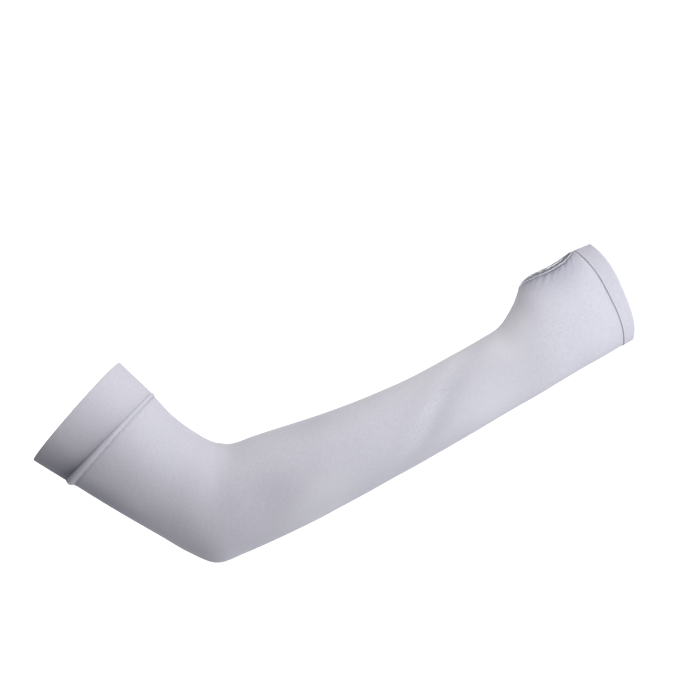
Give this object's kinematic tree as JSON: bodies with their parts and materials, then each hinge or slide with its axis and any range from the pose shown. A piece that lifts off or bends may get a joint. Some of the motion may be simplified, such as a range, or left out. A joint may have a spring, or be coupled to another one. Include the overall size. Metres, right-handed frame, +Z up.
{
  "type": "sun protection arm sleeve",
  "caption": "Knitted sun sleeve in the shape of a bent left arm, with a doubled upper cuff, a rolled seam, a thumb hole and a band at the knuckles.",
  "frame": {"origin": "centre of the elbow inside the sleeve, on the arm's own axis", "axes": "+X runs towards the hand, +Z is up with the thumb hole on the upper side, and the palm faces -Y. The bent arm lies in the XZ plane."},
  "size_m": [0.4331, 0.089, 0.2329],
  "materials": {
    "cooling_knit": "fine weft knit of nylon and spandex, light lavender grey, soft sheen",
    "doubled_knit": "the same knit folded double, smoother and a little paler",
    "edge_thread": "overlocked edge thread, pale and slightly shiny"
  },
  "bodies": {
    "root": {"upper_cuff": "doubled_knit", "cuff_roll": "doubled_knit", "sleeve_tube": "cooling_knit", "hand_band": "doubled_knit", "thumb_binding": "edge_thread"}
  },
  "joints": []
}
